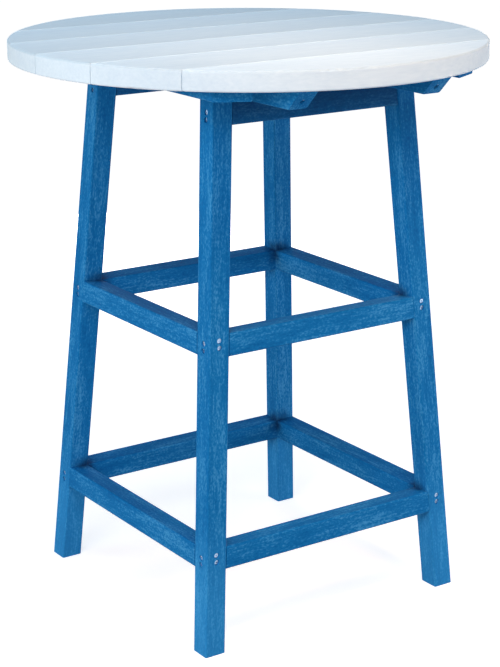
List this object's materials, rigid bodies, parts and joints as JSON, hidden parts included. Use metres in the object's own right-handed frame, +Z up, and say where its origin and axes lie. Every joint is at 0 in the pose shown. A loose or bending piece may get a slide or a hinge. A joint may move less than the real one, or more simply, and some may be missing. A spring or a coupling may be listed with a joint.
{
  "type": "pub table",
  "caption": "Round bar-height outdoor table: plank top on battens and cleats, splayed square legs tied by aprons and upper and lower rings of screwed rails.",
  "frame": {"origin": "on the floor, under the middle of the round top", "axes": "+Z up, +X along the planks, +Y to the back"},
  "size_m": [0.813, 0.8128, 0.98],
  "materials": {
    "top_lumber": "white recycled-plastic lumber, satin with fine grain lines",
    "frame_lumber": "blue recycled-plastic lumber, brushed grain",
    "screws": "plain stainless steel"
  },
  "bodies": {
    "root": {"top_plank_1": "top_lumber", "top_plank_2": "top_lumber", "top_plank_3": "top_lumber", "top_plank_4": "top_lumber", "top_plank_5": "top_lumber", "top_plank_6": "top_lumber", "batten_left": "frame_lumber", "batten_right": "frame_lumber", "cleat_left": "frame_lumber", "cleat_right": "frame_lumber", "leg_front_left": "frame_lumber", "leg_front_right": "frame_lumber", "leg_back_left": "frame_lumber", "leg_back_right": "frame_lumber", "apron_front": "frame_lumber", "apron_back": "frame_lumber", "upper_rail_front": "frame_lumber", "upper_rail_back": "frame_lumber", "upper_rail_left": "frame_lumber", "upper_rail_right": "frame_lumber", "lower_rail_front": "frame_lumber", "lower_rail_back": "frame_lumber", "lower_rail_left": "frame_lumber", "lower_rail_right": "frame_lumber", "lower_rail_screws": "screws", "upper_rail_screws": "screws", "apron_screws": "screws", "apron_batten_screws": "screws", "batten_screws": "screws", "short_screws": "screws"}
  },
  "joints": []
}
